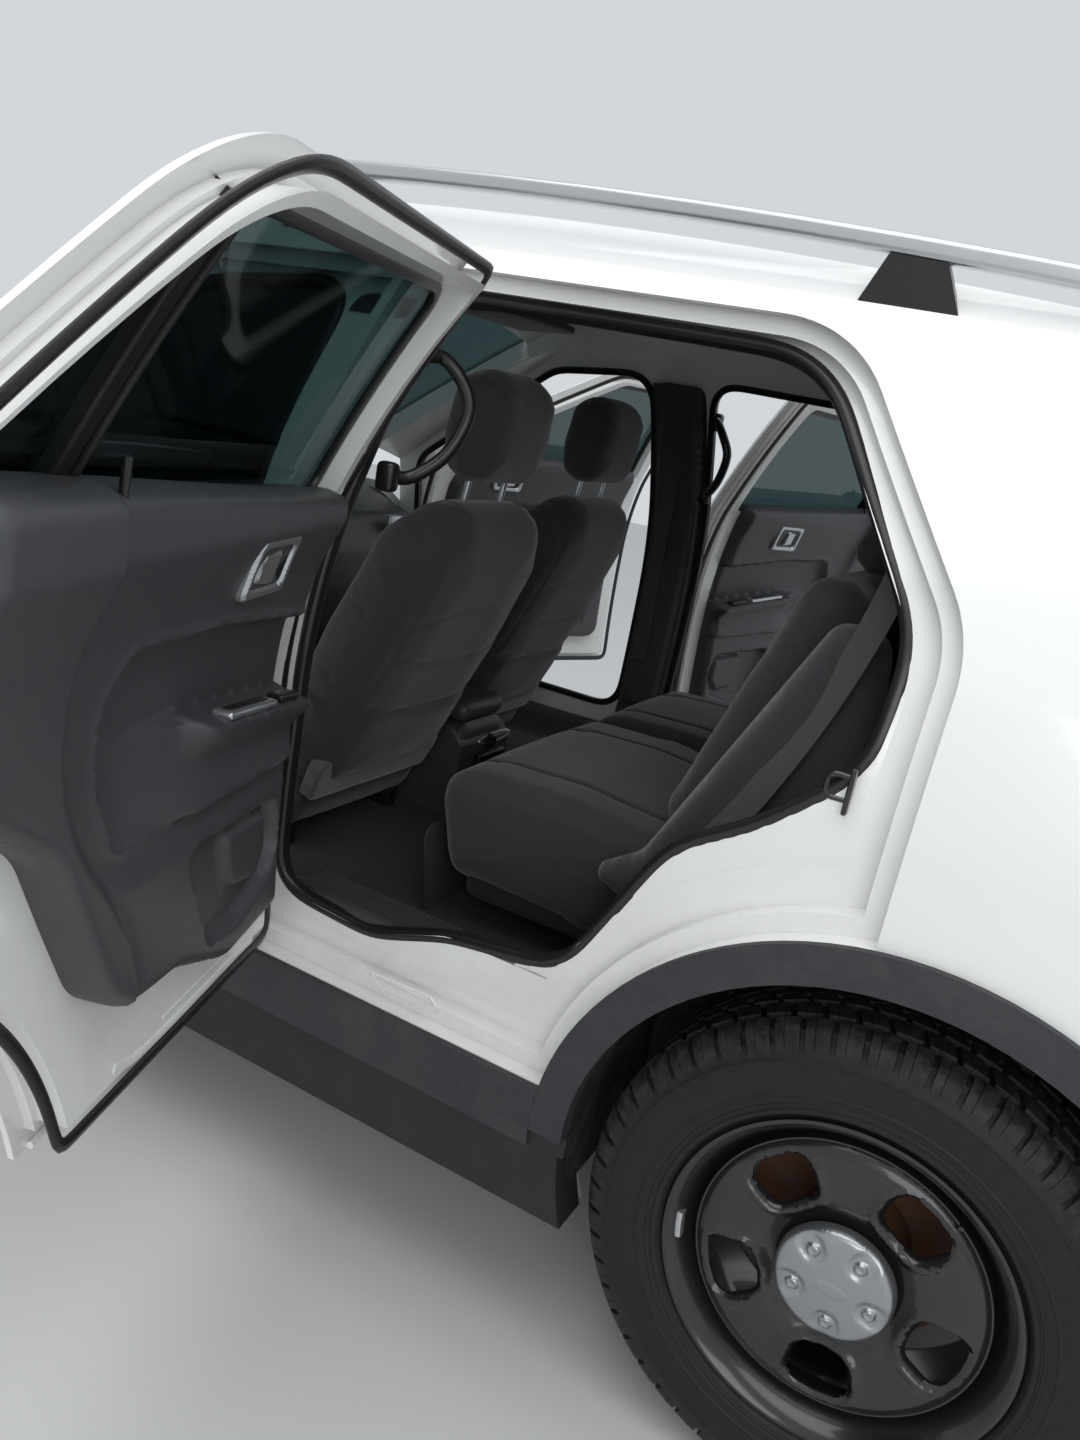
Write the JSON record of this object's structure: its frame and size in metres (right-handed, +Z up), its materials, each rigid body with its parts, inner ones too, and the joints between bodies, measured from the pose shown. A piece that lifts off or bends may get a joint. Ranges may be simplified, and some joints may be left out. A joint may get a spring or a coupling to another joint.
{
  "type": "police suv",
  "caption": "White mid-size police SUV with all doors swung open, black steel wheels and charcoal lower cladding.",
  "frame": {"origin": "on the ground, midway along the length and on the centre line", "axes": "+X forward, +Y to the left, +Z up"},
  "size_m": [5.0056, 3.9158, 1.799],
  "materials": {
    "white_paint": "gloss white paint, dusty low down",
    "charcoal_trim": "grained charcoal trim",
    "black_plastic": "black plastic",
    "tinted_glass": "teal-tinted glass",
    "tyre_rubber": "winter tyre rubber with dried dirt",
    "black_steel": "gloss black steel wheel",
    "rusty_iron": "rusty cast iron",
    "black_cloth": "black headliner cloth",
    "seat_fabric": "charcoal seat cloth",
    "floor_carpet": "black carpet over sheet steel",
    "cast_metal": "cast engine block",
    "chassis_steel": "black chassis paint",
    "exhaust_steel": "dull exhaust steel",
    "lamp_lens": "clear lamp lens",
    "red_lens": "red lamp lens",
    "satin_silver": "satin silver",
    "charcoal_cladding": "textured charcoal plastic",
    "liner_plastic": "black liner with dirt"
  },
  "bodies": {
    "shell": {"arch_liners": "liner_plastic", "body_sides": "white_paint", "cabin_trim": "charcoal_trim", "centre_console": "charcoal_trim", "dashboard": "charcoal_trim", "engine_block": "cast_metal", "exhaust": "exhaust_steel", "fenders": "white_paint", "floor_pan": "floor_carpet", "front_bumper": "white_paint", "front_seats": "seat_fabric", "fuel_tank": "black_plastic", "grille": "black_plastic", "headlamps": "lamp_lens", "headliner": "black_cloth", "lower_cladding": "charcoal_cladding", "quarter_glass": "tinted_glass", "rail_feet": "black_plastic", "rear_bumper": "white_paint", "rear_seat": "seat_fabric", "roof": "white_paint", "roof_rails": "satin_silver", "subframes": "chassis_steel", "tail_lamps": "red_lens", "windshield": "tinted_glass"},
    "door_front_left": {"door_front_left_glass": "tinted_glass", "door_front_left_panel": "white_paint", "door_front_left_trim": "charcoal_trim", "mirror_left": "black_plastic"},
    "door_front_right": {"door_front_right_glass": "tinted_glass", "door_front_right_panel": "white_paint", "door_front_right_trim": "charcoal_trim", "mirror_right": "black_plastic"},
    "door_rear_left": {"door_rear_left_glass": "tinted_glass", "door_rear_left_panel": "white_paint", "door_rear_left_trim": "charcoal_trim"},
    "door_rear_right": {"door_rear_right_glass": "tinted_glass", "door_rear_right_panel": "white_paint", "door_rear_right_trim": "charcoal_trim"},
    "hood_lid": {"hood": "white_paint"},
    "tailgate": {"liftgate": "white_paint", "liftgate_glass": "tinted_glass"},
    "steering": {"steering_wheel": "black_plastic"},
    "upright_left": {"knuckle_left": "rusty_iron"},
    "upright_right": {"knuckle_right": "rusty_iron"},
    "wheel_front_left": {"rim_front_left": "black_steel", "tyre_front_left": "tyre_rubber"},
    "wheel_front_right": {"rim_front_right": "black_steel", "tyre_front_right": "tyre_rubber"},
    "wheel_rear_left": {"rim_rear_left": "black_steel", "tyre_rear_left": "tyre_rubber"},
    "wheel_rear_right": {"rim_rear_right": "black_steel", "tyre_rear_right": "tyre_rubber"}
  },
  "joints": [
    {"name": "door_rear_left_hinge", "type": "hinge", "parent": "shell", "child": "door_rear_left", "pos_m": [-0.201, 0.976, 0.85], "axis": [0, 0, -1], "range_deg": [-71, 0]},
    {"name": "door_rear_right_hinge", "type": "hinge", "parent": "shell", "child": "door_rear_right", "pos_m": [-0.201, -0.976, 0.85], "axis": [0, 0, 1], "range_deg": [-71, 0]},
    {"name": "door_front_left_hinge", "type": "hinge", "parent": "shell", "child": "door_front_left", "pos_m": [0.848, 0.976, 0.85], "axis": [0, 0, -1], "range_deg": [-68, 0]},
    {"name": "door_front_right_hinge", "type": "hinge", "parent": "shell", "child": "door_front_right", "pos_m": [0.848, -0.976, 0.85], "axis": [0, 0, 1], "range_deg": [-68, 0]},
    {"name": "hood_hinge", "type": "hinge", "parent": "shell", "child": "hood_lid", "pos_m": [1.285, 0, 1.12], "axis": [0, -1, 0], "range_deg": [0, 48]},
    {"name": "liftgate_hinge", "type": "hinge", "parent": "shell", "child": "tailgate", "pos_m": [-2.11, 0, 1.612], "axis": [0, 1, 0], "range_deg": [0, 84]},
    {"name": "steer_left", "type": "hinge", "parent": "shell", "child": "upright_left", "pos_m": [1.556, 0.76, 0.381], "axis": [0, 0, 1], "range_deg": [-32, 32]},
    {"name": "steer_right", "type": "hinge", "parent": "shell", "child": "upright_right", "pos_m": [1.556, -0.76, 0.381], "axis": [0, 0, 1], "range_deg": [-32, 32]},
    {"name": "steering_spin", "type": "hinge", "parent": "shell", "child": "steering", "pos_m": [0.56, 0.37, 1], "axis": [-0.9272, 0, 0.3746], "range_deg": [-480, 480]},
    {"name": "spin_front_left", "type": "hinge", "parent": "upright_left", "child": "wheel_front_left", "pos_m": [1.556, 0.851, 0.381], "axis": [0, 1, 0], "continuous": true},
    {"name": "spin_front_right", "type": "hinge", "parent": "upright_right", "child": "wheel_front_right", "pos_m": [1.556, -0.851, 0.381], "axis": [0, 1, 0], "continuous": true},
    {"name": "spin_rear_left", "type": "hinge", "parent": "shell", "child": "wheel_rear_left", "pos_m": [-1.304, 0.851, 0.381], "axis": [0, 1, 0], "continuous": true},
    {"name": "spin_rear_right", "type": "hinge", "parent": "shell", "child": "wheel_rear_right", "pos_m": [-1.304, -0.851, 0.381], "axis": [0, 1, 0], "continuous": true}
  ],
  "couplings": [
    {"joint": "steer_right", "follows": "steer_left", "ratio": 1},
    {"joint": "steering_spin", "follows": "steer_left", "ratio": -14.5}
  ]
}
